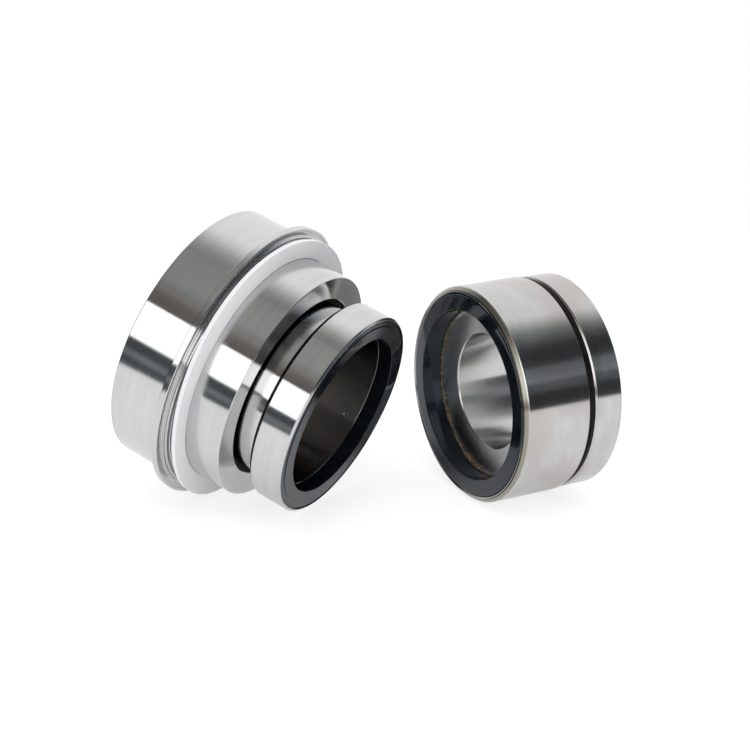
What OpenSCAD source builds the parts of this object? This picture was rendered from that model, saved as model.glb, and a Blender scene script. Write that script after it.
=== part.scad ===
// Component mechanical seal: a spring-loaded stationary head and a rotating mating ring,
// lying side by side on a flat surface with their lapped faces towards the front.
// All sizes in millimetres. Each half is turned about its own axis.

/* [Floating sleeve] */
// Bore of the floating sleeve, where the shaft passes
sleeve_bore = 71.8; // [70:0.1:74]
// Wall of the floating sleeve
sleeve_wall = 3.35; // [3:0.05:4]
// Distance that the floating face can be pushed in
travel = 3; // [2:0.5:3.5]

/* [Collar and face ring] */
// How far the collar stands out from the sleeve
collar_reach = 6.75; // [5.5:0.05:8]
// Width of the collar
collar_w = 16.4; // [14:0.1:18]
// Distance from the nose's front end to the collar, pushed fully out
collar_gap = 10.1; // [8:0.1:12]
// Bevel on the collar's rear rim
collar_rear_bevel = 2.2; // [1:0.1:3]
// Bevel on the collar's front rim
collar_front_bevel = 0.8; // [0.4:0.1:1.2]
// Width of the collar's thin front lip
collar_land = 0.3; // [0.2:0.1:1]
// Width of the lapped ring's shoulder, outside its raised face
shoulder_w = 2.1; // [1.5:0.1:3]
// Thickness of the shoulder
shoulder_t = 1.8; // [1.5:0.1:2.5]
// Gap between the shoulder and the collar's lip
shoulder_gap = 0.4; // [0.2:0.1:0.6]
// How far the lapped ring's bore is set back from the sleeve's bore
ring_setback = 0.3; // [0.1:0.1:1]
// Depth that the lapped ring sits in the collar
face_ring_seat = 6.6; // [5:0.1:8]
// Height that the lapped face stands proud of the steel
face_proud = 0.1; // [0.05:0.05:0.3]
// Step and bevel from the lapped face down to its shoulder
face_bevel = 0.4; // [0.2:0.1:0.6]

/* [Springs and drive] */
// Outer diameter of a spring
spring_d = 7.6; // [6.5:0.1:8.5]
// Diameter of the spring wire
spring_wire = 1.2; // [1:0.1:1.4]
// Number of turns in a spring
spring_turns = 6; // [5:1:7]
// Gap between the springs and the sleeve
spring_gap = 0.45; // [0.3:0.05:0.8]
// Gap between the springs and the chamber's wall
chamber_gap = 0.7; // [0.5:0.1:1.2]
// Thickness of the thrust ring that the springs push
thrust_t = 5; // [4.5:0.1:6]
// Gap between the thrust ring and the chamber's wall
thrust_gap = 1; // [0.5:0.1:1.5]
// Thickness of the snap ring on the sleeve
snap_t = 1.9; // [1.5:0.1:2.3]
// Depth of the snap ring's groove in the sleeve
snap_depth = 1.5; // [1:0.1:1.8]
// How far the snap ring stands out from the sleeve
snap_reach = 1.75; // [1.2:0.05:2]
// Diameter of the drive pins
pin_d = 4; // [3.5:0.1:4.4]
// Length of a drive pin
pin_len = 20; // [18:0.5:21]
// Depth of a drive pin's hole in the housing
pin_seat = 6; // [5:0.5:7]
// Wall between a drive pin's hole and the O-ring groove
pin_wall = 0.95; // [0.8:0.05:1.5]
// Diameter of the grub screws in the thrust ring
grub_d = 3; // [2.5:0.1:3.6]
// Diameter of the head's O-ring section, as fitted
head_cord_d = 3; // [2.8:0.1:3.4]
// Wall between the O-ring groove and the mouth
groove_wall = 3; // [2.5:0.1:4]

/* [Stationary housing] */
// Wall of the housing round the spring chamber
housing_wall = 10.5; // [10:0.1:12]
// How far the locating flange stands out from the rear cylinder
flange_reach = 4.9; // [3:0.1:6]
// Width of the flange's rim along the axis
flange_w = 3; // [2:0.1:4]
// Distance from the rear end to the flange's front face
flange_front = 28.2; // [26:0.1:30]
// How far the land in front of the flange lies below its rim
land_drop = 3.4; // [2.5:0.1:4]
// Width of that land
land_w = 1.2; // [0.8:0.1:2]
// How far the neck that backs the gasket lies below the rear cylinder
neck_drop = 0.9; // [0.5:0.1:1.5]
// Width of the neck
neck_w = 4.4; // [3:0.1:6]
// Gap between the sleeve and the counterbore in the nose's front end
mouth_gap = 2.5; // [2:0.1:3.5]
// Depth of that counterbore
mouth_depth = 6; // [4:0.5:7]
// Wall of the nose round the counterbore
nose_wall = 10.25; // [9:0.05:11]
// Length of the nose in front of the gasket's seat
nose_len = 17.5; // [16:0.5:20]
// Bevel on the housing's rear rim
housing_bevel = 0.5; // [0.3:0.1:1]
// Bevel on the flange, the nose and other sharp rims
rim_bevel = 0.3; // [0.1:0.1:0.4]

/* [Gasket] */
// How far the flat gasket stands out from the neck
gasket_reach = 2.8; // [1.5:0.1:3.5]
// Thickness of the gasket
gasket_t = 1.8; // [1.5:0.1:3]

/* [Back plate] */
// Wall of the housing round the back plate
plate_rim = 4.05; // [3.5:0.05:4.5]
// Thickness of the back plate
plate_t = 5.2; // [5:0.1:6]
// How far the plate's hole is set back from the sleeve's bore
plate_setback = 0.6; // [0.2:0.1:1]
// Thickness of the flat gasket under the back plate
plate_seal_t = 0.5; // [0.3:0.1:1]
// Distance that the back plate lies below the housing's rear end
plate_sunk = 0.3; // [0.1:0.1:1]
// Depth of the spring pockets in the back plate
pocket_depth = 2; // [1:0.1:2.1]
// Distance from the plate's rim to the middle of a screw
screw_edge = 3.6; // [3.2:0.1:4]
// Thread diameter of the screws
screw_d = 3; // [2.5:0.1:3.1]
// Length of a screw under its head
screw_len = 10; // [8:0.5:14]

/* [Mating ring] */
// Outer diameter of the holder in front of its groove
seat_d = 94; // [90:0.5:100]
// How far the holder's rear part lies below its front part
rear_step = 0.5; // [0:0.1:1]
// Length of the holder
seat_len = 48.4; // [46:0.1:52]
// Bore of the holder, over the shaft
shaft_bore = 50; // [46:0.5:52]
// Bevel on both ends of the bore
bore_bevel = 0.5; // [0.3:0.1:1]
// Depth of the bevel on the holder's front rim
seat_bevel = 1.9; // [1:0.1:2.2]
// Length of that bevel along the axis
seat_bevel_w = 2.2; // [1.5:0.1:3]
// Width of the steel lip between that bevel and the ring's seat
seat_land = 0.3; // [0.2:0.1:1]
// Bevel on the mouth of the ring's seat
seat_mouth = 0.8; // [0.4:0.1:1]
// Width of the holder's lapped ring, from its bore to its rim
seat_ring_w = 7; // [5:0.1:8]
// Width of the bevel round that ring's lapped face
ring_bevel_w = 1.6; // [0.5:0.1:2]
// Depth of the bevel round that ring's lapped face
ring_bevel = 0.5; // [0.2:0.1:0.8]
// Depth that the ring sits in the holder
seat_ring_seat = 9.8; // [8:0.1:12]
// Step from the ring's bore down to the dished face behind it
dish_step = 0.2; // [0.1:0.1:0.5]
// Depth of the dished face
dish_depth = 1.2; // [0.8:0.1:1.5]
// Distance from the rear end to the O-ring groove
groove_start = 13.2; // [11:0.1:15]
// Diameter of the holder's O-ring section
seat_cord_d = 3.2; // [3:0.1:3.6]
// Gap on each side of that O-ring in its groove
cord_gap = 0.15; // [0.1:0.05:0.4]
// How far the O-ring lies below the holder's rear part
cord_sunk = 0.05; // [0.05:0.05:0.3]
// Bevel on the groove's rear edge
groove_bevel = 0.7; // [0.3:0.1:1]
// Diameter of the two drive holes in the rear end
drive_hole_d = 6; // [5:0.5:8]
// Depth of the drive holes
drive_hole_depth = 8; // [6:0.5:12]
// Distance from the bore's wall to the middle of a drive hole
drive_edge = 11; // [8:0.1:13]

/* [Layout] */
// Direction of the stationary head's axis, turned from the mating ring's
head_turn = -57.2; // [-70:0.1:-50]
// Place of the head's rear centre from the mating ring's face, along its axis
head_x = -92.6; // [-100:0.1:-85]
// Place of the head's rear centre from the mating ring's axis, sideways
head_y = 73.5; // [70:0.1:85]

/* [Hidden] */
$fn = 96;

// Copies round the head's axis
spring_n = 8;
screw_n = 6;
pin_n = 2;
grub_n = 3;

// Clearances, each side
sliding_fit = 0.15;  // between the sleeve and its guide
seated_fit = 0.05;   // between pieces that are assembled by hand
stop_gap = 0.1;      // between the snap ring and the chamber's front wall at rest
rear_gap = 0.5;      // between the sleeve, pushed right in, and the back plate

// Radii in the head, from the shaft outwards
bore_r = sleeve_bore / 2;
sleeve_r = bore_r + sleeve_wall;
guide_r = sleeve_r + sliding_fit;
collar_r = sleeve_r + collar_reach;
rim_r = collar_r - collar_front_bevel - collar_land;
shoulder_r = rim_r - shoulder_gap;
face_ring_r = shoulder_r - shoulder_w;
face_bore_r = bore_r + ring_setback;
spring_circle = 2 * (sleeve_r + spring_gap) + spring_d;
chamber_r = spring_circle / 2 + spring_d / 2 + chamber_gap;
thrust_r = chamber_r - thrust_gap;
snap_r = sleeve_r + snap_reach;
snap_seat_r = sleeve_r - snap_depth;
mouth_r = sleeve_r + mouth_gap;
nose_r = mouth_r + nose_wall;
housing_r = chamber_r + housing_wall;
flange_r = housing_r + flange_reach;
land_r = flange_r - land_drop;
neck_r = housing_r - neck_drop;
gasket_r = neck_r + gasket_reach;
recess_r = housing_r - plate_rim;
plate_r = recess_r - seated_fit;
plate_hole_r = bore_r + plate_setback;
screw_circle = 2 * (plate_r - screw_edge);
pocket_d = spring_d + 4 * seated_fit;

// O-ring in the head's guide: its groove is just wider and deeper than the cord
head_groove_w = head_cord_d * 1.45;
head_groove_r = sleeve_r + head_cord_d + 2 * seated_fit;

// Heights along the head's axis, from the housing's rear end
gasket_seat = flange_front + land_w + neck_w;
nose_front = gasket_seat + nose_len;
mouth_floor = nose_front - mouth_depth;
head_groove_z = mouth_floor - groove_wall - head_groove_w;
chamber_front = head_groove_z - pin_wall - pin_seat;
snap_front = chamber_front - stop_gap;
snap_groove_w = snap_t + 2 * seated_fit;
thrust_front = snap_front - snap_t;
thrust_rear = thrust_front - thrust_t;
collar_rear = nose_front + collar_gap;
collar_front = collar_rear + collar_w;
face_ring_rear = collar_front - face_ring_seat;
shoulder_front = collar_front + face_proud - face_bevel;
shoulder_rear = shoulder_front - shoulder_t;
plate_front = plate_sunk + plate_t;
plate_recess = plate_front + plate_seal_t;
spring_rear = plate_front - pocket_depth;
sleeve_rear = plate_front + travel + rear_gap;

// Drive pins stand between two springs, on opposite sides
pin_turn = 180 / spring_n;
pin_hole_d = pin_d + 4 * sliding_fit;

// Grub screws, between the pins
grub_turn = 112.5;

// Socket head of a plate screw, in shares of the thread
head_d = screw_d * 1.83;
head_h = screw_d;
socket_d = screw_d * 0.96;
socket_depth = screw_d * 0.5;
head_sink = head_h + 2 * seated_fit;
screw_turn = 15;

// Mating ring
seat_r = seat_d / 2;
rear_r = seat_r - rear_step;
seat_ring_r = seat_r - seat_bevel - seat_land - seat_mouth;
seat_ring_bore_r = seat_ring_r - seat_ring_w;
groove_end = groove_start + seat_cord_d + 2 * cord_gap;
groove_floor_r = rear_r - cord_sunk - seat_cord_d - seated_fit;
seat_ring_rear = seat_len - seat_ring_seat;
bore_front = seat_ring_rear - dish_depth;
drive_circle = shaft_bore + 2 * drive_edge;

// Rims that can touch the floor or bound the set: height along the axis, then radius
rear_rims = [
    [0, housing_r - housing_bevel], [housing_bevel, housing_r],
    [flange_front - flange_w + rim_bevel, flange_r], [flange_front - rim_bevel, flange_r],
    [flange_front + land_w, land_r], [gasket_seat + gasket_t, gasket_r],
    [nose_front - rim_bevel, nose_r]];
front_rims = [
    [collar_front - collar_front_bevel, collar_r], [collar_front, collar_r - collar_front_bevel],
    [collar_front + face_proud, face_ring_r - face_bevel]];
head_rims = concat(rear_rims, front_rims);

// The head rests on its collar and on whichever rim behind it stands out most, so its axis dips
collar_rim = front_rims[0];
head_dip = max([for (q = rear_rims) atan2(q[1] - collar_rim[1], collar_rim[0] - q[0])]);
head_height = max([for (q = head_rims) q[0] * sin(head_dip) + q[1] * cos(head_dip)]);
head_axis = [cos(head_dip) * cos(head_turn), cos(head_dip) * sin(head_turn), -sin(head_dip)];

// The mating ring lies on its front part
seat_height = seat_r;
seat_face_x = seat_len;

// Lowest and highest reach of a list of rims along a direction with cosine c to their axis
function lowest(rims, start, c) = min([for (q = rims) start + q[0] * c - q[1] * sqrt(1 - c * c)]);
function highest(rims, start, c) = max([for (q = rims) start + q[0] * c + q[1] * sqrt(1 - c * c)]);

// Middle of the set's box, which becomes the origin
low_x = min(lowest(head_rims, head_x, head_axis[0]), 0);
high_x = max(highest(head_rims, head_x, head_axis[0]), seat_face_x);
low_y = min(lowest(head_rims, head_y, head_axis[1]), -seat_r);
high_y = max(highest(head_rims, head_y, head_axis[1]), seat_r);
shift = [-(low_x + high_x) / 2, -(low_y + high_y) / 2, 0];

// Places a piece of the head, drawn upright on its rear end
module in_head() {
    translate(shift + [head_x, head_y, head_height])
        rotate([0, 90 + head_dip, head_turn])
            children();
}

// Places a piece of the mating ring, drawn upright on its rear end
module in_seat() {
    translate(shift + [seat_face_x, 0, seat_height])
        rotate([0, -90, 0])
            children();
}

// A turned piece, from half of its section as [radius, height] points
module turned(section) {
    rotate_extrude() polygon(section);
}

// A plain round bar or hole between two heights
module bar(d, z0, z1) {
    translate([0, 0, z0]) cylinder(d = d, h = z1 - z0, $fn = 48);
}

// Copies of the children on a circle
module on_circle(n, d, turn = 0) {
    for (i = [0 : n - 1])
        rotate(turn + i * 360 / n) translate([d / 2, 0, 0]) children();
}

// Housing: rear cylinder, flange, land, neck and nose turned in one piece
module housing() {
    flange_rear = flange_front - flange_w;
    groove_front = head_groove_z + head_groove_w;
    color("lightgray") in_head() difference() {
        turned([
            [recess_r, 0], [housing_r - housing_bevel, 0], [housing_r, housing_bevel],
            [housing_r, flange_rear], [flange_r - rim_bevel, flange_rear],
            [flange_r, flange_rear + rim_bevel], [flange_r, flange_front - rim_bevel],
            [flange_r - rim_bevel, flange_front],
            [land_r, flange_front], [land_r, flange_front + land_w],
            [neck_r, flange_front + land_w], [neck_r, gasket_seat],
            [nose_r, gasket_seat], [nose_r, nose_front - rim_bevel], [nose_r - rim_bevel, nose_front],
            [mouth_r + rim_bevel, nose_front], [mouth_r, nose_front - rim_bevel],
            [mouth_r, mouth_floor], [guide_r, mouth_floor],
            [guide_r, groove_front], [head_groove_r, groove_front],
            [head_groove_r, head_groove_z], [guide_r, head_groove_z],
            [guide_r, chamber_front], [chamber_r, chamber_front],
            [chamber_r, plate_recess], [recess_r, plate_recess]]);
        on_circle(pin_n, spring_circle, pin_turn) bar(pin_d, chamber_front - 1, chamber_front + pin_seat);
        on_circle(screw_n, screw_circle, screw_turn)
            bar(screw_d, plate_recess - 1, plate_recess + screw_len);
    }
}

// Flat gasket on the nose, against the neck
module gasket() {
    r0 = nose_r + seated_fit;
    top = gasket_seat + gasket_t;
    color("white") in_head()
        turned([[r0, gasket_seat], [gasket_r, gasket_seat], [gasket_r, top], [r0, top]]);
}

// Back plate that closes the spring chamber, with a pocket for each spring
module back_plate() {
    color("silver") in_head() difference() {
        turned([
            [plate_hole_r + rim_bevel, plate_sunk], [plate_r - rim_bevel, plate_sunk],
            [plate_r, plate_sunk + rim_bevel], [plate_r, plate_front],
            [plate_hole_r, plate_front], [plate_hole_r, plate_sunk + rim_bevel]]);
        on_circle(spring_n, spring_circle) bar(pocket_d, spring_rear, plate_front + 1);
        on_circle(screw_n, screw_circle, screw_turn) {
            bar(screw_d + 8 * seated_fit, plate_sunk - 1, plate_front + 1);
            bar(head_d + 4 * seated_fit, plate_sunk - 1, plate_sunk + head_sink);
        }
    }
}

// Thin flat gasket between the back plate and its seat in the housing
module plate_gasket() {
    color("dimgray") in_head() difference() {
        turned([
            [chamber_r, plate_front], [plate_r, plate_front],
            [plate_r, plate_recess], [chamber_r, plate_recess]]);
        on_circle(screw_n, screw_circle, screw_turn)
            bar(screw_d + 8 * seated_fit, plate_front - 1, plate_recess + 1);
    }
}

// One socket-head screw of the back plate
module plate_screw(i) {
    seat = plate_sunk + head_sink;
    color("gray") in_head() rotate(screw_turn + (i - 1) * 360 / screw_n)
        translate([screw_circle / 2, 0, 0]) difference() {
            union() {
                bar(head_d, seat - head_h, seat);
                bar(screw_d - 2 * seated_fit, seat - 0.5, seat + screw_len);
            }
            translate([0, 0, seat - head_h - 1]) cylinder(d = socket_d, h = socket_depth + 1, $fn = 6);
        }
}

// One drive pin, pressed into the housing and running through the thrust ring
module drive_pin(i) {
    top = chamber_front + pin_seat - seated_fit;
    r = pin_d / 2 - seated_fit / 2;
    color("darkgray") in_head() rotate(pin_turn + (i - 1) * 360 / pin_n)
        translate([spring_circle / 2, 0, 0])
            turned([
                [0, top - pin_len], [r - rim_bevel, top - pin_len], [r, top - pin_len + rim_bevel],
                [r, top - rim_bevel], [r - rim_bevel, top], [0, top]]);
}

// O-ring in the housing's guide, on the floating sleeve
module head_o_ring() {
    color("black") in_head() rotate_extrude()
        translate([sleeve_r + seated_fit + head_cord_d / 2, head_groove_z + head_groove_w / 2])
            circle(d = head_cord_d, $fn = 48);
}

// Floating carrier: sleeve and collar turned in one piece, with a recess for the lapped ring
module face_carrier() {
    groove_front = snap_front + seated_fit;
    color("gainsboro") in_head() turned([
        [bore_r + rim_bevel, sleeve_rear], [sleeve_r - rim_bevel, sleeve_rear],
        [sleeve_r, sleeve_rear + rim_bevel], [sleeve_r, groove_front - snap_groove_w],
        [snap_seat_r, groove_front - snap_groove_w], [snap_seat_r, groove_front],
        [sleeve_r, groove_front], [sleeve_r, collar_rear],
        [collar_r - collar_rear_bevel, collar_rear], [collar_r, collar_rear + collar_rear_bevel],
        [collar_r, collar_front - collar_front_bevel], [collar_r - collar_front_bevel, collar_front],
        [rim_r, collar_front], [rim_r, shoulder_rear], [face_ring_r, shoulder_rear],
        [face_ring_r, face_ring_rear], [bore_r, face_ring_rear], [bore_r, sleeve_rear + rim_bevel]]);
}

// Lapped ring, shrunk into the collar, with a shoulder round its raised face
module face_ring() {
    top = collar_front + face_proud;
    color([0.18, 0.19, 0.21]) in_head() turned([
        [face_bore_r, face_ring_rear], [face_ring_r, face_ring_rear],
        [face_ring_r, shoulder_rear], [shoulder_r, shoulder_rear],
        [shoulder_r, shoulder_front - rim_bevel], [shoulder_r - rim_bevel, shoulder_front],
        [face_ring_r, shoulder_front], [face_ring_r - face_bevel, top],
        [face_bore_r + face_bevel / 2, top], [face_bore_r, top - face_bevel / 2]]);
}

// Thrust ring on the sleeve, behind the snap ring, with holes for the drive pins and grub screws
module thrust_ring() {
    r0 = sleeve_r + seated_fit;
    color("darkgray") in_head() difference() {
        turned([
            [r0, thrust_rear], [thrust_r - rim_bevel, thrust_rear],
            [thrust_r, thrust_rear + rim_bevel], [thrust_r, thrust_front - rim_bevel],
            [thrust_r - rim_bevel, thrust_front], [r0, thrust_front]]);
        on_circle(pin_n, spring_circle, pin_turn) bar(pin_hole_d, thrust_rear - 1, thrust_front + 1);
        for (i = [1 : grub_n]) at_grub_screw(i) bar(grub_d, 0, thrust_r + 1);
    }
}

// Place of a grub screw: radial, through the middle of the thrust ring
module at_grub_screw(i) {
    rotate(grub_turn + (i - 1) * 360 / grub_n)
        translate([0, 0, (thrust_rear + thrust_front) / 2]) rotate([0, 90, 0]) children();
}

// Snap ring in the sleeve's groove, which carries the springs' push to the sleeve
module snap_ring() {
    gap = 5;
    r0 = snap_seat_r + seated_fit;
    color("slategray") in_head() difference() {
        turned([
            [r0, thrust_front], [snap_r, thrust_front],
            [snap_r, snap_front], [r0, snap_front]]);
        rotate(-pin_turn) translate([0, -gap / 2, thrust_front - 1])
            cube([2 * snap_r, gap, snap_t + 2]);
    }
}

// One of the grub screws that lock the thrust ring to the sleeve
module grub_screw(i) {
    tip = sleeve_r + 2 * seated_fit;
    top = thrust_r - rim_bevel;
    color("gray") in_head() at_grub_screw(i) difference() {
        bar(grub_d - 2 * seated_fit, tip, top);
        translate([0, 0, top - grub_d / 2]) cylinder(d = grub_d / 2, h = grub_d, $fn = 6);
    }
}

// A point of a spring's wire, at angle a along the coil and b round the wire
function coil_radius() = (spring_d - spring_wire) / 2;
function coil_z(a, z0, z1) = z0 + spring_wire / 2
    + (z1 - z0 - spring_wire) * a / (360 * spring_turns);
function wire_point(a, b, z0, z1) =
    let (r = coil_radius() + spring_wire / 2 * cos(b))
    [r * cos(a), r * sin(a), coil_z(a, z0, z1) + spring_wire / 2 * sin(b)];

// One coil spring, from its pocket in the back plate to the thrust ring
module spring(i) {
    steps = 12;
    sides = 6;
    z0 = spring_rear + seated_fit;
    z1 = thrust_rear - seated_fit;
    last = spring_turns * steps;
    points = [for (k = [0 : last], s = [0 : sides - 1])
        wire_point(k * 360 / steps, s * 360 / sides, z0, z1)];
    walls = [for (k = [0 : last - 1], s = [0 : sides - 1])
        let (a = k * sides + s, b = k * sides + (s + 1) % sides)
        [a, b, b + sides, a + sides]];
    first_end = [for (s = [sides - 1 : -1 : 0]) s];
    last_end = [for (s = [0 : sides - 1]) last * sides + s];
    color("silver") in_head() rotate((i - 1) * 360 / spring_n) translate([spring_circle / 2, 0, 0])
        polyhedron(points = points, faces = concat(walls, [first_end, last_end]));
}

// Holder of the rotating lapped ring, with an O-ring groove outside and a dished inner face
module seat_holder() {
    br = shaft_bore / 2;
    dish_out = seat_ring_bore_r - dish_step;
    dish_in = br + bore_bevel;
    bowl = [for (a = [0 : 15 : 75])
        [dish_in + (dish_out - dish_in) * cos(a), bore_front + dish_depth * (1 - sin(a))]];
    color("lightgray") in_seat() difference() {
        turned(concat([
            [br + bore_bevel, 0], [rear_r - bore_bevel, 0], [rear_r, bore_bevel],
            [rear_r, groove_start - groove_bevel], [rear_r - groove_bevel, groove_start],
            [groove_floor_r, groove_start], [groove_floor_r, groove_end],
            [seat_r - rim_bevel / 2, groove_end], [seat_r, groove_end + rim_bevel / 2],
            [seat_r, seat_len - seat_bevel_w], [seat_r - seat_bevel, seat_len],
            [seat_ring_r + seat_mouth, seat_len], [seat_ring_r, seat_len - seat_mouth],
            [seat_ring_r, seat_ring_rear]],
            bowl,
            [[dish_in, bore_front], [br, bore_front - bore_bevel], [br, bore_bevel]]));
        on_circle(2, drive_circle, 90) bar(drive_hole_d, -1, drive_hole_depth);
    }
}

// Lapped ring of the rotating half
module seat_ring() {
    top = seat_len + face_proud;
    color([0.18, 0.19, 0.21]) in_seat() turned([
        [seat_ring_bore_r, seat_ring_rear], [seat_ring_r, seat_ring_rear],
        [seat_ring_r, top - ring_bevel], [seat_ring_r - ring_bevel_w, top],
        [seat_ring_bore_r + face_bevel / 2, top], [seat_ring_bore_r, top - face_bevel / 2]]);
}

// O-ring that lies in the holder's outer groove
module seat_o_ring() {
    color("black") in_seat() rotate_extrude()
        translate([groove_floor_r + seated_fit + seat_cord_d / 2, (groove_start + groove_end) / 2])
            circle(d = seat_cord_d, $fn = 48);
}

housing();
gasket();
back_plate();
plate_gasket();
plate_screw(1);  // plate_screw_1
plate_screw(2);  // plate_screw_2
plate_screw(3);  // plate_screw_3
plate_screw(4);  // plate_screw_4
plate_screw(5);  // plate_screw_5
plate_screw(6);  // plate_screw_6
drive_pin(1);  // drive_pin_1
drive_pin(2);  // drive_pin_2
head_o_ring();
face_carrier();
face_ring();
thrust_ring();
snap_ring();
grub_screw(1);  // grub_screw_1
grub_screw(2);  // grub_screw_2
grub_screw(3);  // grub_screw_3
spring(1);  // spring_1
spring(2);  // spring_2
spring(3);  // spring_3
spring(4);  // spring_4
spring(5);  // spring_5
spring(6);  // spring_6
spring(7);  // spring_7
spring(8);  // spring_8
seat_holder();
seat_ring();
seat_o_ring();
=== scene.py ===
import math

import bmesh
import bpy
from mathutils import Matrix, Vector


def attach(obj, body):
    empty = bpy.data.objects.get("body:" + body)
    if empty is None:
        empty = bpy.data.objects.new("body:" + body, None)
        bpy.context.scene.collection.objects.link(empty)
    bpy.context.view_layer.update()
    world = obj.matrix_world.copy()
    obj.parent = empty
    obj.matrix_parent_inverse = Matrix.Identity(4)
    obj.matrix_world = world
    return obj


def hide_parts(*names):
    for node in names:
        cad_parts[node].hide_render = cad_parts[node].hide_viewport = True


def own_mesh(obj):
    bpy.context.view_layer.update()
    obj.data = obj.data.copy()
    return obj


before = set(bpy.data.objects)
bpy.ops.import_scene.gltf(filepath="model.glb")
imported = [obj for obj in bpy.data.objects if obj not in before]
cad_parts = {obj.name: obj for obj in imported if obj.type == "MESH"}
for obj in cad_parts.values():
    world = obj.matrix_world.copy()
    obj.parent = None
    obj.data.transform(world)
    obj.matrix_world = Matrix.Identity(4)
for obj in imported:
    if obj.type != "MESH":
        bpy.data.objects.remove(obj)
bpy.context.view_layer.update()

# ---- Camera -----------------------------------------------------------------
# A long lens on a stand in front and above, looking down at the two halves
# of the seal. Its place is the one the round edges of the photograph give.
mm = 0.001
camera_spot = Vector((-327.2, -645.44, 301.99)) * mm
camera_turn = math.radians(-28.249)
camera_dip = math.radians(18.876)
camera_roll = math.radians(0.169)

forward = Vector((-math.sin(camera_turn) * math.cos(camera_dip),
                  math.cos(camera_turn) * math.cos(camera_dip),
                  -math.sin(camera_dip)))
level = Vector((math.cos(camera_turn), math.sin(camera_turn), 0))
fall = forward.cross(level)
right = math.cos(camera_roll) * level + math.sin(camera_roll) * fall
down = -math.sin(camera_roll) * level + math.cos(camera_roll) * fall

camera_data = bpy.data.cameras.new("camera")
camera_data.sensor_width = 36
camera_data.lens = 85.431
camera_data.clip_start, camera_data.clip_end = 0.01, 20
camera = bpy.data.objects.new("camera", camera_data)
bpy.context.scene.collection.objects.link(camera)
camera.matrix_world = Matrix.Translation(camera_spot) @ Matrix(
    (right, -down, -forward)).transposed().to_4x4()
bpy.context.scene.camera = camera
bpy.context.scene.view_settings.view_transform = "Standard"


# ---- Studio -----------------------------------------------------------------
# A white sweep behind and right, a strip lamp on the left in a dark room, and
# black cloth round the camera. The camera sees white. Metal sees this room and
# a table with a painted shadow between the halves. Matt things get one plain
# level of light.
class Wire:
    """A socket of a material. Sums on wires add their Math nodes."""

    def __init__(self, socket):
        self.socket = socket

    def outlet(self, name):
        """Another output of this wire's own node, by its name or number."""
        return Wire(self.socket.node.outputs[name])

    def feed(self, values):
        """Sets or links the sockets of this wire's own node."""
        for key, value in values.items():
            target = self.socket.node.inputs[key]
            if isinstance(value, Wire):
                self.socket.id_data.links.new(value.socket, target)
            else:
                target.default_value = value
        return self

    def node(self, kind, settings=None, values=None, out=0):
        """Adds a node: its type, its settings, then its sockets' values."""
        node = self.socket.id_data.nodes.new("ShaderNode" + kind)
        for key, value in (settings or {}).items():
            setattr(node, key, value)
        return Wire(node.outputs[0]).feed(values or {}).outlet(out)

    def sum(self, operation, *values):
        """A Math node on these values."""
        return self.node("Math", {"operation": operation},
                         dict(enumerate(values)))

    def __add__(self, other):
        return self.sum("ADD", self, other)

    __radd__ = __add__

    def __sub__(self, other):
        return self.sum("SUBTRACT", self, other)

    def __rsub__(self, other):
        return self.sum("SUBTRACT", other, self)

    def __mul__(self, other):
        return self.sum("MULTIPLY", self, other)

    __rmul__ = __mul__

    def __truediv__(self, other):
        return self.sum("DIVIDE", self, other)

    def rise(self, low, high):
        """0 below low and 1 above high, with a soft step between."""
        return self.node("MapRange", {"interpolation_type": "SMOOTHSTEP"},
                         {"Value": self, "From Min": low, "From Max": high})

    def band(self, low, high, soft):
        """1 from low to high, and 0 a soft step outside them."""
        return self.rise(low - soft, low) * (1 - self.rise(high, high + soft))

    def tint(self, first, second):
        """The first colour where this wire is 0, the second where it is 1."""
        return self.node("Mix", {"data_type": "RGBA"},
                         {0: self, 6: first, 7: second}, out=2)

    def parts(self, vector):
        """The three numbers of a vector."""
        split = self.node("SeparateXYZ", None, {0: vector})
        return [split.outlet(k) for k in range(3)]


def far_out(first, second):
    """How long the arrow is that goes first along and second across."""
    return first.sum("SQRT", first * first + second * second)


def grey(tone):
    """The colour of a plain grey."""
    return tone, tone, tone, 1


world = bpy.data.worlds.new("studio")
bpy.context.scene.world = world
world.use_nodes = True
world.cycles.sampling_method = "NONE"
studio = Wire(world.node_tree.nodes["Background"].outputs[0])
side, back, up = studio.parts(studio.node("TexCoord"))
degrees = 180 / math.pi
height = up.sum("ARCSINE", up) * degrees
compass = side.sum("ARCTAN2", side, back) * degrees   # 0 behind, 90 right

sweep_left, sweep_right, sweep_top = (-34, 6), (76, 118), (55, 86)
sweep_dims = 0.72
behind = compass.rise(*sweep_left) * (1 - compass.rise(*sweep_right))
sweep = 1 - sweep_dims * height.rise(*sweep_top)

lamp_left, lamp_right, lamp_low, lamp_high = -166, -84, 9.6, 37
lamp_bend, lamp_slant, lamp_brightness = -108, 0.35, 1.75
past_bend = lamp_bend - compass
past_bend = past_bend.sum("MAXIMUM", past_bend, 0)
strip_lamp = (compass.band(lamp_left, lamp_right, 5)
              * (height + lamp_slant * past_bend).band(
                  lamp_low, lamp_high, 1))

over_lamp = (1 - compass.rise(-60, 0)) * height.band(38, 51, 4)
behind_lamp = (1 - compass.rise(-117, -102)) * height.rise(36, 52)
under_lamp = compass.band(-112, -80, 5) * height.band(-3.5, -0.5, 2)
over_camera = compass.band(120, 172, 14)
ceiling = height.rise(44, 62)
cloth = 0.035
for brightness, lit_part in (
        (0.05, 1 - compass.rise(-60, 60)), (0.05, over_lamp),
        (0.09, behind_lamp), (0.13, under_lamp),
        (0.16, over_camera * height.band(20, 29, 4)),
        (0.08, over_camera * height.band(11, 20, 3)), (0.21, ceiling)):
    cloth = cloth + brightness * lit_part
room = behind * sweep + (1 - behind) * cloth + lamp_brightness * strip_lamp

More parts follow.
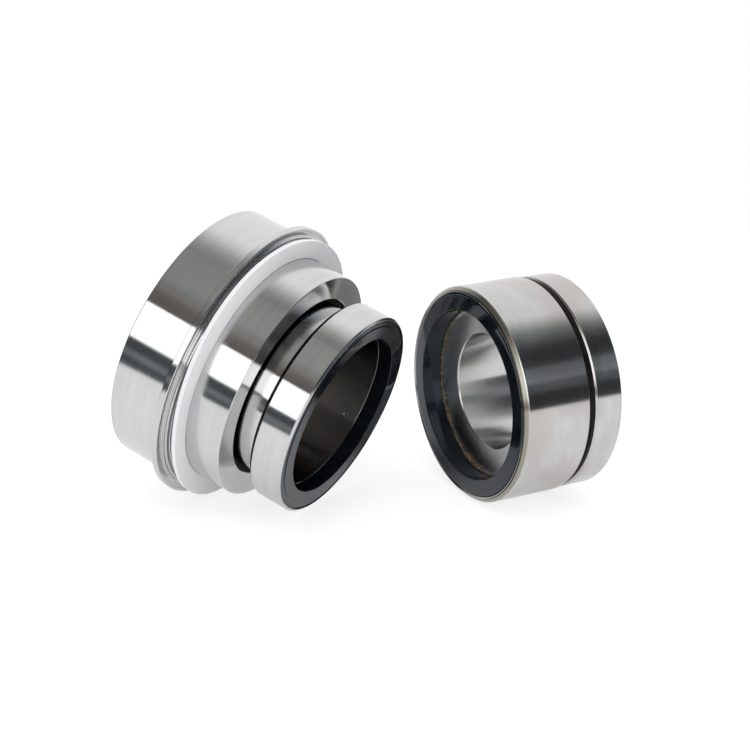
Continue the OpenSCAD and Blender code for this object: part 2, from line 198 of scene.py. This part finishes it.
cloth_tint, ceiling_tint = (0.90, 1.01, 1.08, 1), (0.98, 1.02, 0.97, 1)
warm_tint = (1.08, 0.99, 0.92, 1)
dark_tint = over_lamp.tint(ceiling.tint(cloth_tint, ceiling_tint), warm_tint)
tinge = room.rise(0.24, 0.95).tint(dark_tint, grey(1))
reflected = tinge.node("VectorMath", {"operation": "SCALE"},
                       {0: tinge, "Scale": room})
plain_light = 0.86
ray = studio.node("LightPath")
lit = ray.outlet("Is Glossy Ray").tint(grey(plain_light), reflected)
studio.feed({"Color": ray.outlet("Is Camera Ray").tint(lit, grey(1))})

lamp_data = bpy.data.lights.new("overhead_soft_box", "AREA")
lamp_data.shape, lamp_data.size, lamp_data.energy = "DISK", 0.7, 3.2
lamp = bpy.data.objects.new("overhead_soft_box", lamp_data)
bpy.context.scene.collection.objects.link(lamp)
lamp.location = (-0.25, -0.35, 1.1)
lamp.rotation_mode = "QUATERNION"
lamp.rotation_quaternion = lamp.location.to_track_quat("Z", "Y")
lamp.visible_glossy = lamp.visible_camera = False

table_radius, table_middle = 0.53, (0.08, -0.125, 0)
table_mesh = bpy.data.meshes.new("table_top")
disc = bmesh.new()
bmesh.ops.create_circle(disc, cap_ends=True, segments=96,
                        radius=table_radius)
disc.to_mesh(table_mesh)
disc.free()
table_top = bpy.data.objects.new("table_top", table_mesh)
bpy.context.scene.collection.objects.link(table_top)
table_top.location = table_middle

table_paint = bpy.data.materials.new("white_table_paint")
table_paint.use_nodes = True
paint = Wire(table_paint.node_tree.nodes["Principled BSDF"].outputs[0])
# Painted shadow: in the metal's mirror the table is darker in an oval between
# the two halves, where their shadow would fall.
gap_middle, gap_length, gap_width = (0.026, 0.158), 0.090, 0.042
gap_turn = math.radians(19)
x, y = paint.parts(paint.node("TexCoord", None, None, out=3))[:2]
x, y = x - gap_middle[0], y - gap_middle[1]
along = (math.cos(gap_turn) * x + math.sin(gap_turn) * y) / gap_length
across = (math.cos(gap_turn) * y - math.sin(gap_turn) * x) / gap_width
painted_shadow_between_halves = 1 - far_out(along, across).rise(0.7, 1.2)
ray = paint.node("LightPath")
mirrored = ray.outlet("Is Glossy Ray") + ray.outlet("Is Transmission Ray")


def table_tone(to_camera, to_matt, to_metal, to_metal_in_painted_shadow):
    """What the camera, matt things and metal each see of the table, with the
    painted shadow that only metal sees.
    """
    in_metal = painted_shadow_between_halves.tint(grey(to_metal), grey(to_metal_in_painted_shadow))
    return ray.outlet("Is Camera Ray").tint(
        mirrored.tint(grey(to_matt), in_metal), grey(to_camera))


paint.feed({"Base Color": table_tone(0.36, 0.90, 0.50, 0.15),
            "Roughness": 0.9, "Specular IOR Level": 0,
            "Emission Color": table_tone(0.76, 0.14, 0.47, 0.06),
            "Emission Strength": 1})
table_mesh.materials.append(table_paint)

# ---- Housing ----------------------------------------------------------------
# The stationary half's body, one piece of stainless steel: a rear spigot,
# a thin flange and a nose that guides the floating sleeve. Turned on a
# lathe and polished, so its lines run round it. Sizes here are in mm.
head_dip = math.radians(19.51325)
head_turn = math.radians(-57.2)
head_rear = Vector((-45.47787104, 42.55573045, 69.07786773)) * mm
head_place = (Matrix.Translation(head_rear)
              @ Matrix.Rotation(head_turn, 4, "Z")
              @ Matrix.Rotation(math.pi / 2 + head_dip, 4, "Y"))


def rounded(corners, radius, steps=4):
    """The outline of (r, z) in mm with each corner eased to an arc. A third
    number gives that corner its own radius."""
    outline = []
    count = len(corners)
    for k, corner in enumerate(corners):
        here = Vector(corner[:2])
        before = Vector(corners[k - 1][:2]) - here
        after = Vector(corners[(k + 1) % count][:2]) - here
        ease = corner[2] if len(corner) > 2 else radius
        bend = before.angle(after)
        if bend > math.radians(170) or ease == 0:
            outline.append(here)
            continue
        reach = min(ease / math.tan(bend / 2), 0.45 * before.length,
                    0.45 * after.length)
        ease = reach * math.tan(bend / 2)
        middle = (before.normalized() + after.normalized()).normalized()
        centre = here + middle * ease / math.sin(bend / 2)
        start = here + before.normalized() * reach - centre
        stop = here + after.normalized() * reach - centre
        arc = start.angle_signed(stop)
        for step in range(steps + 1):
            turned = start.copy()
            turned.rotate(Matrix.Rotation(-arc * step / steps, 2))
            outline.append(centre + turned)
    return outline


def shell(name, points, faces, place):
    """A smooth piece of these points and faces, standing at place."""
    mesh = bpy.data.meshes.new(name)
    mesh.from_pydata(points, [], faces)
    mesh.shade_smooth()
    piece = bpy.data.objects.new(name, mesh)
    bpy.context.scene.collection.objects.link(piece)
    piece.matrix_world = place
    return piece


def spun(name, outline, place, steps=256):
    """A closed outline of (r, z) in mm, spun round the z axis of place."""
    area = sum(a[0] * b[1] - b[0] * a[1]
               for a, b in zip(outline, outline[1:] + outline[:1]))
    if area < 0:
        outline = outline[::-1]
    count = len(outline)
    points = [(r * mm * math.cos(2 * math.pi * k / steps),
               r * mm * math.sin(2 * math.pi * k / steps), z * mm)
              for k in range(steps) for r, z in outline]
    faces = [(k * count + j, (k + 1) % steps * count + j,
              (k + 1) % steps * count + (j + 1) % count,
              k * count + (j + 1) % count)
             for k in range(steps) for j in range(count)]
    return shell(name, points, faces, place)


def even_faces(piece):
    """Flat faces stay flat beside their rounded edges."""
    piece.modifiers.new("even_faces", "WEIGHTED_NORMAL").keep_sharp = True


def finished(piece, material, body, slot, *nodes):
    """The piece in its material, on its body, for its CAD nodes."""
    piece.data.materials.clear()
    piece.data.materials.append(material)
    bpy.context.view_layer.update()
    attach(piece, body)
    if nodes:
        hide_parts(*nodes)


def blank(name, **values):
    """A new material, and the wire of its shader."""
    material = bpy.data.materials.new(name)
    material.use_nodes = True
    shader = Wire(material.node_tree.nodes["Principled BSDF"].outputs[0])
    return material, shader.feed({key.replace("_", " "): value
                                  for key, value in values.items()})


def own_frame(shader):
    """Where a point of the material is in its piece's own frame."""
    return shader.node("TexCoord", None, None, out=3)


def out_from_axis(shader):
    """How far a point of a turned piece is from its axis, and its height."""
    x, y, z = shader.parts(own_frame(shader))
    return far_out(x, y) / mm, z / mm


def lathe_lines(shader, lines_per_mm, length=1.0):
    """Noise that is drawn out round the axis, as a tool or belt leaves it.
    length is how long a mark is, in turns of the piece."""
    x, y, z = shader.parts(own_frame(shader))
    radius = far_out(x, y)
    scale = lines_per_mm / mm
    return shader.node(
        "TexNoise", {"noise_dimensions": "4D"},
        {"Vector": x.node("CombineXYZ", None, {
            0: radius * scale, 1: z * scale, 2: x / radius / length}),
         "W": y / radius / length, "Scale": 1.0, "Detail": 3.0,
         "Roughness": 0.6})


def mottle(shader, scale, detail, **more):
    """Cloudy noise all through the piece, with scale clouds to the metre."""
    return shader.node("TexNoise", None, {
        "Vector": own_frame(shader), "Scale": scale, "Detail": detail, **more})


def relief(shader, surface, strength, depth):
    """A fine relief for the Normal socket, depth in mm."""
    return shader.node("Bump", None, {
        "Strength": strength, "Distance": depth * mm, "Height": surface})


spigot_radius, spigot_front, spigot_chamfer = 58.5, 25.2, .5
flange_radius, flange_front, flange_chamfer = 63.4, 28.2, .3
land_steps = [(62, 28.2), (61.8, 28.0), (60.2, 28.0), (60, 28.2),
              (60, 29.1, .3), (58.9, 29.1), (58.7, 29.3), (58.7, 29.8, .25),
              (57, 29.8), (56.8, 30.1)]
neck_rear, nose_radius, nose_front, nose_chamfer = 30.1, 52, 51.3, .3
gap_radius, gap_floor = 41.75, 45.3
sleeve_hole, sleeve_radius, sleeve_bore = 39.4, 39.25, 35.9
cord_groove_radius, cord_groove_rear, cord_groove_front = 42.35, 37.95, 42.3
chamber_radius, chamber_front = 48, 31
plate_seat_radius, plate_seat_depth = 54.45, 6

polish, shader = blank("polished_steel", Metallic=1.0, Anisotropic=1.0,
                       Anisotropic_Rotation=0.25)
fine = lathe_lines(shader, 2.2)
coarse = lathe_lines(shader, 0.45, 0.6)
radius, z = out_from_axis(shader)
# Painted shade: the steel's colour is darkened inside the sleeve's bore, at
# the rear edge and in the gap round the sleeve. It is bright in small nicks.
bore = 1 - radius.rise(sleeve_bore + .05, sleeve_bore + .2)
painted_rear_edge_shade = (1 - z.rise(.40, .55)) * radius.rise(spigot_radius - .6,
                                                 spigot_radius - .5)
painted_shade_round_sleeve = (radius.band(sleeve_radius + .1, gap_radius + .05, .05)
                * z.band(gap_floor - .1, nose_front - .5, .1))
stain = mottle(shader, 45.0, 4.0)
nick = 1 - shader.node("TexVoronoi", None, {
    "Vector": own_frame(shader), "Scale": 120.0}).rise(0.03, 0.05)
steel = (stain * 0.5 + coarse * 0.5).rise(0.3, 0.7).tint(
    (0.605, 0.605, 0.60, 1), (0.69, 0.685, 0.69, 1))
steel = nick.tint(steel, (0.90, 0.90, 0.89, 1))
# Painted shade, near black, on the rear edge's chamfer.
steel = painted_rear_edge_shade.tint(steel, grey(0.10))
# Painted shade, near black, in the gap round the sleeve.
steel = painted_shade_round_sleeve.tint(steel, grey(0.05))
# Two tones of painted shade for the sleeve's bore, blended along its length.
bore_mouth, bore_depths = (0.42, 0.41, 0.39, 1), (0.17, 0.16, 0.15, 1)
painted_bore_shade = (1 - z.rise(30, 72)).tint(bore_mouth, bore_depths)
shader.feed({
    "Base Color": bore.tint(steel, painted_bore_shade),
    "Roughness": (0.085 + 0.05 * fine + 0.03 * (stain - 0.5)
                  + 0.03 * bore + 0.25 * nick),
    "Normal": relief(shader, (fine + coarse * 0.6) * (1 - 0.85 * bore),
                     0.06, 0.2)})

housing = spun("housing_body", rounded([
    (plate_seat_radius, 0), (spigot_radius - spigot_chamfer, 0),
    (spigot_radius, spigot_chamfer), (spigot_radius, spigot_front),
    (flange_radius - flange_chamfer, spigot_front),
    (flange_radius, spigot_front + flange_chamfer),
    (flange_radius, flange_front - flange_chamfer),
    (flange_radius - flange_chamfer, flange_front), *land_steps,
    (nose_radius, neck_rear), (nose_radius, nose_front - nose_chamfer),
    (nose_radius - nose_chamfer, nose_front),
    (gap_radius + nose_chamfer, nose_front),
    (gap_radius, nose_front - nose_chamfer), (gap_radius, gap_floor),
    (sleeve_hole, gap_floor), (sleeve_hole, cord_groove_front),
    (cord_groove_radius, cord_groove_front),
    (cord_groove_radius, cord_groove_rear), (sleeve_hole, cord_groove_rear),
    (sleeve_hole, chamber_front), (chamber_radius, chamber_front),
    (chamber_radius, plate_seat_depth),
    (plate_seat_radius, plate_seat_depth)], .12), head_place)
even_faces(housing)
finished(housing, polish, "head", "polished_steel", "housing")

# ---- Gasket -----------------------------------------------------------------
# A flat ring cut from white PTFE sheet and hung loose on the nose. It leans
# back on the flange at its upper left and has curled a little like a saddle.
white, shader = blank("white_sheet", IOR=1.38)
sheet_grain = mottle(shader, 600.0, 5.0)
cloud = mottle(shader, 60.0, 3.0)
shader.feed({
    "Base Color": cloud.rise(0.3, 0.75).tint((0.91, 0.915, 0.935, 1),
                                             (0.86, 0.865, 0.89, 1)),
    "Roughness": 0.36 + 0.2 * cloud,
    "Normal": relief(shader, sheet_grain, 0.25, 0.05)})
gasket_hole, gasket_rim, gasket_sheet = 52.05, 60.4, 1.8
gasket_middle, gasket_lean = 32.75, math.radians(1.62)
lean_towards, curl_towards, curl = math.radians(25), math.radians(-140), 1.3
bends = 54.8, 57.6   # rings of points between, for the curl
gasket = spun("gasket_ring", rounded([
    (gasket_hole, 0), *((r, 0, 0) for r in bends), (gasket_rim, 0),
    (gasket_rim, gasket_sheet), *((r, gasket_sheet, 0) for r in bends[::-1]),
    (gasket_hole, gasket_sheet)], .25), head_place)
for point in gasket.data.vertices:
    x, y = point.co[:2]
    turn, radius = math.atan2(y, x), math.hypot(x, y) / mm
    out = (radius - gasket_hole) / (gasket_rim - gasket_hole)
    point.co.z += (gasket_middle
                   + math.tan(gasket_lean) * radius
                   * math.cos(turn - lean_towards)
                   - curl * out * math.cos(2 * (turn - curl_towards))) * mm
even_faces(gasket)
finished(gasket, white, "head", "white_gasket", "gasket")

# ---- Back plate, its seal and screws ----------------------------------------
# A turned steel plate that shuts the spring chamber behind. It sits on a
# ring of fibre sheet and is held by six socket screws.
machined, shader = blank("turned_steel", Metallic=1.0, Anisotropic=0.7,
                         Anisotropic_Rotation=0.25)
fine = lathe_lines(shader, 3.0)
coarse = lathe_lines(shader, 0.7, 0.5)
shader.feed({
    "Base Color": coarse.rise(0.3, 0.7).tint((0.57, 0.57, 0.56, 1),
                                             (0.63, 0.63, 0.62, 1)),
    "Roughness": 0.24 + 0.14 * fine,
    "Normal": relief(shader, fine, 0.12, 0.2)})

fibre, shader = blank("fibre_sheet", Roughness=0.8)
strands = mottle(shader, 900.0, 4.0, Distortion=1.5)
shader.feed({
    "Base Color": strands.rise(0.35, 0.7).tint((0.10, 0.075, 0.05, 1),
                                               (0.20, 0.15, 0.10, 1)),
    "Normal": relief(shader, strands, 0.3, 0.05)})

fastener, shader = blank("fastener_steel", Metallic=1.0)
flecks = mottle(shader, 700.0, 4.0)
shader.feed({
    "Base Color": flecks.rise(0.3, 0.7).tint((0.40, 0.40, 0.39, 1),
                                             (0.50, 0.50, 0.49, 1)),
    "Roughness": 0.28 + 0.14 * flecks,
    "Normal": relief(shader, flecks, 0.08, 0.05)})


def dressed(material, slot, *names):
    """CAD parts whose shape is right keep it, and get their material."""
    for name in names:
        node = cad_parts[name]
        node.data.materials.clear()
        node.data.materials.append(material)


dressed(machined, "turned_steel", "back_plate")
dressed(fibre, "fibre", "plate_gasket")
dressed(fastener, "fastener_steel", "drive_pin_1", "drive_pin_2",
        *(f"plate_screw_{k}" for k in range(1, 7)))

# ---- Head's rubber cord -----------------------------------------------------
# A moulded rubber ring of round section, in the groove inside the nose. It
# seals the floating sleeve and lets it slide.
rubber, shader = blank("black_rubber", IOR=1.22)
bloom = mottle(shader, 250.0, 4.0)
shader.feed({
    "Base Color": bloom.rise(0.35, 0.75).tint((0.004, 0.004, 0.0045, 1),
                                              (0.011, 0.011, 0.0115, 1)),
    "Roughness": 0.42 + 0.2 * bloom,
    "Normal": relief(shader, bloom, 0.12, 0.05)})


def cord_ring(name, radius, z, section, place, sides=24):
    """A ring of round cord: its middle radius, its place, its section."""
    corners = [2 * math.pi * k / sides for k in range(sides)]
    return spun(name, [(radius + section / 2 * math.cos(a),
                        z + section / 2 * math.sin(a))
                       for a in corners], place)


head_cord_radius, head_cord_height, head_cord_section = 40.8, 40.125, 3
finished(cord_ring("head_seal_cord", head_cord_radius, head_cord_height,
                   head_cord_section, head_place),
         rubber, "head", "o_ring_rubber", "head_o_ring")

# ---- Floating sleeve and collar ---------------------------------------------
# The sleeve that carries the face ring slides in the nose. Its collar is
# turned from the same polished steel, with a wide bevel behind.
sleeve_rear, sleeve_chamfer = 9, .3
snap_groove_radius, snap_groove_rear, snap_groove_front = 37.75, 28.95, 30.95
collar_radius, collar_rear, bevel_top, collar_front = 46, 61.4, 63.6, 77.8
ring_lip, ring_shoulder, shoulder_height, ring_floor = 44.9, 42.4, 75.7, 71.2
carrier = spun("face_carrier_body", rounded([
    (sleeve_bore + sleeve_chamfer, sleeve_rear),
    (sleeve_radius - sleeve_chamfer, sleeve_rear),
    (sleeve_radius, sleeve_rear + sleeve_chamfer),
    (sleeve_radius, snap_groove_rear), (snap_groove_radius, snap_groove_rear),
    (snap_groove_radius, snap_groove_front),
    (sleeve_radius, snap_groove_front), (sleeve_radius, collar_rear, .6),
    (43.8, collar_rear, .15), (collar_radius, bevel_top, .25),
    (collar_radius, collar_front - .8, .2),
    (collar_radius - .8, collar_front, .2), (ring_lip, collar_front, .05),
    (ring_lip, shoulder_height), (ring_shoulder, shoulder_height),
    (ring_shoulder, ring_floor), (sleeve_bore, ring_floor),
    (sleeve_bore, sleeve_rear + sleeve_chamfer)], .12), head_place)
even_faces(carrier)
finished(carrier, polish, "floating_face", "polished_steel", "face_carrier")

# ---- Face rings -------------------------------------------------------------
# The two running faces are rings of dark silicon carbide, lapped flat and
# pressed into the collar and into the mating ring's seat.
carbide, shader = blank("lapped_carbide", IOR=1.56,
                        Specular_Tint=(0.70, 0.85, 1.0, 1))
lapping = mottle(shader, 420.0, 6.0, Roughness=0.65)
wear = lathe_lines(shader, 0.35, 0.5)
shader.feed({
    "Base Color": lapping.rise(0.3, 0.7).tint((0.002, 0.003, 0.0045, 1),
                                              (0.006, 0.008, 0.011, 1)),
    "Roughness": 0.03 + 0.05 * lapping + 0.05 * wear,
    "Normal": relief(shader, lapping, 0.05, 0.05)})
ring_bore, ring_rim, ring_rim_front, running_face = 36.2, 44.5, 77.5, 77.9
face_ring = spun("face_ring_lapped", rounded([
    (ring_bore, ring_floor), (ring_shoulder, ring_floor),
    (ring_shoulder, shoulder_height), (ring_rim, shoulder_height),
    (ring_rim, ring_rim_front - .3), (ring_rim - .3, ring_rim_front),
    (ring_shoulder, ring_rim_front), (ring_shoulder - .4, running_face),
    (ring_bore + .2, running_face), (ring_bore, running_face - .2)],
    .06), head_place)
even_faces(face_ring)
finished(face_ring, carbide, "floating_face", "lapped_ceramic", "face_ring")

# ---- Thrust ring, its screws and snap ring ----------------------------------
# Hidden in the chamber: the ring the springs push on, fixed to the sleeve
# by a snap ring in a groove and by three grub screws.
dressed(machined, "turned_steel", "thrust_ring")
dressed(fastener, "spring_steel", "snap_ring")
dressed(fastener, "fastener_steel", *(f"grub_screw_{k}" for k in (1, 2, 3)))

# ---- Springs ----------------------------------------------------------------
# Eight small coils of spring wire stand in pockets of the back plate and
# press the floating sleeve forward. In the seal they shorten as it floats
# back; here each is built at one length.
wire_steel, shader = blank("spring_wire", Metallic=1.0)
drawn = mottle(shader, 1200.0, 3.0)
shader.feed({
    "Base Color": drawn.rise(0.3, 0.7).tint((0.42, 0.42, 0.42, 1),
                                            (0.55, 0.55, 0.54, 1)),
    "Roughness": 0.22 + 0.12 * drawn})
spring_low, spring_high, face_travel = 3.55, 23.95, 3
coil_radius, wire_radius, coil_turns, flat_share = 3.2, 0.6, 6, .1
spring_circle, spring_count = 43.5, 8


def coil(name, centre, steps_per_turn=24, sides=10):
    """A round wire wound up the z axis at centre, flat at both ends."""
    rows = coil_turns * steps_per_turn
    rise = spring_high - spring_low - 2 * wire_radius
    points = []
    for row in range(rows + 1):
        turn = 2 * math.pi * row / steps_per_turn
        climb = (row / rows - flat_share) / (1 - 2 * flat_share)
        climb = min(max(climb, 0), 1)
        out = Vector((math.cos(turn), math.sin(turn), 0))
        middle = (centre + out * coil_radius
                  + Vector((0, 0, spring_low + wire_radius + rise * climb)))
        for j in range(sides):
            a = 2 * math.pi * j / sides
            points.append((middle + (out * math.cos(a) + Vector(
                (0, 0, math.sin(a)))) * wire_radius) * mm)
    faces = [(row * sides + j, (row + 1) * sides + j,
              (row + 1) * sides + (j + 1) % sides,
              row * sides + (j + 1) % sides)
             for row in range(rows) for j in range(sides)]
    faces += [tuple(range(sides)),
              tuple(rows * sides + j for j in range(sides))[::-1]]
    return shell(name, points, faces, head_place)


for k in range(spring_count):
    turn = 2 * math.pi * k / spring_count
    spring = coil(f"spring_coil_{k + 1}", spring_circle * Vector(
        (math.cos(turn), math.sin(turn), 0)))
    finished(spring, wire_steel, "head", "spring_steel", f"spring_{k + 1}")
    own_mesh(spring)

# ---- Mating ring ------------------------------------------------------------
# The half that turns with the shaft, a thick stainless ring with a groove
# for its rubber cord, a stepped lip round the face and a shallow dish
# inside. Its finish is satin, left by fine cloth on the lathe.
seat_rear = Vector((95.52212896, -30.94426955, 47.0)) * mm
seat_place = (Matrix.Translation(seat_rear)
              @ Matrix.Rotation(-math.pi / 2, 4, "Y"))
seat_bore, rear_radius, front_radius = 25, 46.5, 47
groove_floor, groove_rear, groove_front = 43.2, 13.2, 16.7
pocket_radius, pocket_floor, lip_rear, lip_front = 44, 38.6, 46.2, 48.4
dish_rim, dish_width, dish_bottom, dish_depth = 25.5, 11.3, 37.4, 1.2

satin, shader = blank("satin_steel", Metallic=1.0, Anisotropic=0.9,
                      Anisotropic_Rotation=0.25)
fine = lathe_lines(shader, 2.6)
coarse = lathe_lines(shader, 0.5, 0.5)
radius, z = out_from_axis(shader)
# The dish is a darker grey and a little rougher. The bore is a lighter steel,
# a painted light inside it. The lip is a dark olive and a little rougher, with
# a near-black ring at its front edge.
dished = 1 - radius.rise(pocket_radius - .4, pocket_radius - .1)
painted_light_in_bore = 1 - radius.rise(seat_bore + .1, seat_bore + .6)
lip = z.band(46.75, 47.75, .25) * (1 - dished)
lip_dark_ring = z.rise(47.75, 48) * radius.rise(45, 45.1)
stain = mottle(shader, 55.0, 4.0)
handled = mottle(shader, 34.0, 2.5, Distortion=0.6)
steel = (stain * 0.5 + coarse * 0.5).rise(0.3, 0.7).tint(
    (0.56, 0.555, 0.55, 1), (0.65, 0.645, 0.65, 1))
steel = handled.rise(0.44, 0.62).tint(steel, (0.54, 0.515, 0.50, 1))
steel = lip.tint(steel, (0.34, 0.325, 0.27, 1))
steel = lip_dark_ring.tint(steel, (0.06, 0.055, 0.045, 1))
steel = dished.tint(steel, grey(0.54))
shader.feed({
    # The bore's lighter steel here is painted light.
    "Base Color": painted_light_in_bore.tint(steel, (0.70, 0.695, 0.69, 1)),
    "Roughness": (0.13 + 0.08 * fine + 0.05 * (stain - 0.5) + 0.05 * dished
                  + 0.02 * lip),
    "Normal": relief(shader, fine * (1 - 0.75 * dished), 0.10, 0.2)})

dish = [(dish_rim + dish_width * math.cos(math.radians(a)),
         dish_bottom + dish_depth * (1 - math.sin(math.radians(a))))
        for a in range(0, 91, 5)]
holder = spun("seat_holder_body", rounded([
    (seat_bore + .5, 0), (rear_radius - .5, 0), (rear_radius, .5),
    (rear_radius, groove_rear - .7), (rear_radius - .7, groove_rear, .2),
    (groove_floor, groove_rear), (groove_floor, groove_front),
    (front_radius - .15, groove_front), (front_radius, groove_front + .15),
    (front_radius, lip_rear, .3), (45.1, lip_front, .15),
    (pocket_radius + .8, lip_front, .05), (pocket_radius, lip_front - .8),
    (pocket_radius, pocket_floor), *dish, (seat_bore, dish_bottom - .5),
    (seat_bore, .5)], .12), seat_place)

drive_hole_turns, drive_hole_reach = (90, 270), 36
drive_hole_radius, drive_hole_depth, drive_hole_sides = 3, 8, 48
drill = bmesh.new()
for turn in drive_hole_turns:
    spot = Vector((math.cos(math.radians(turn)),
                   math.sin(math.radians(turn)), 0)) * drive_hole_reach
    bmesh.ops.create_cone(
        drill, cap_ends=True, segments=drive_hole_sides,
        radius1=drive_hole_radius * mm, radius2=drive_hole_radius * mm,
        depth=2 * drive_hole_depth * mm,
        matrix=Matrix.Translation(spot * mm)
        @ Matrix.Rotation(math.pi / drive_hole_sides, 4, "Z"))
drill_mesh = bpy.data.meshes.new("drive_hole_drill")
drill.to_mesh(drill_mesh)
drill.free()
drill_tool = bpy.data.objects.new("drive_hole_drill", drill_mesh)
bpy.context.scene.collection.objects.link(drill_tool)
drill_tool.matrix_world = seat_place
bpy.context.view_layer.update()
cut = holder.modifiers.new("drive_holes", "BOOLEAN")
cut.operation, cut.solver, cut.object = "DIFFERENCE", "EXACT", drill_tool
drilled = bpy.data.meshes.new_from_object(
    holder.evaluated_get(bpy.context.evaluated_depsgraph_get()))
holder.modifiers.clear()
holder.data = drilled
bpy.data.objects.remove(drill_tool)
drilled.set_sharp_from_angle(angle=math.radians(50))
even_faces(holder)
finished(holder, satin, "mating_ring", "satin_steel", "seat_holder")

seat_ring_bore, seat_ring_front = 37, 48.5
seat_ring = spun("seat_ring_lapped", rounded([
    (seat_ring_bore, pocket_floor), (pocket_radius, pocket_floor),
    (pocket_radius, seat_ring_front - .5),
    (pocket_radius - .3, seat_ring_front - .15), (42.4, seat_ring_front),
    (seat_ring_bore + .2, seat_ring_front),
    (seat_ring_bore, seat_ring_front - .2)], .06), seat_place)
even_faces(seat_ring)
finished(seat_ring, carbide, "mating_ring", "lapped_ceramic", "seat_ring")

# ---- Seam of fitting compound -----------------------------------------------
# A thin bead of brown compound squeezed out behind the ring when it was
# pressed into its seat. It is uneven, and has dried rough.
compound, shader = blank("dried_compound", Roughness=0.55)
lumps = mottle(shader, 900.0, 4.0, Roughness=0.7)
shader.feed({
    "Base Color": lumps.rise(0.4, 0.7).tint((0.035, 0.028, 0.020, 1),
                                            (0.30, 0.23, 0.14, 1)),
    "Normal": relief(shader, lumps, 0.5, 0.2)})
bead_radius, bead_height, bead_section = 36.85, 38.85, 1.24
ripples = (0.22, 7, 0), (0.16, 23, 1), (0.12, 61, 0)
smear_turn, smear_reach = math.radians(168), math.radians(18)
smear_swell = 0.6
bead = cord_ring("compound_bead", bead_radius, bead_height, bead_section,
                 seat_place)
for point in bead.data.vertices:
    x, y = point.co[:2]
    turn, radius = math.atan2(y, x), math.hypot(x, y) / mm
    swell = 1 + sum(size * math.sin(count * turn + shift)
                    for size, count, shift in ripples)
    swell += smear_swell * math.exp(
        -((turn - smear_turn) / smear_reach) ** 4)
    scale = (bead_radius + (radius - bead_radius) * swell) / radius
    z = bead_height * mm + (point.co.z - bead_height * mm) * swell
    point.co = Vector((x * scale, y * scale, z))
finished(bead, compound, "mating_ring", "fibre")

# ---- Mating ring's rubber cord ----------------------------------------------
# The second moulded rubber ring, of the same stock as the head's. It is
# stretched over the mating ring and sits low in the outer groove.
seat_cord_radius, seat_cord_height, seat_cord_section = 44.85, 14.95, 3.2
finished(cord_ring("seat_seal_cord", seat_cord_radius, seat_cord_height,
                   seat_cord_section, seat_place),
         rubber, "mating_ring", "o_ring_rubber", "seat_o_ring")

bpy.context.view_layer.update()
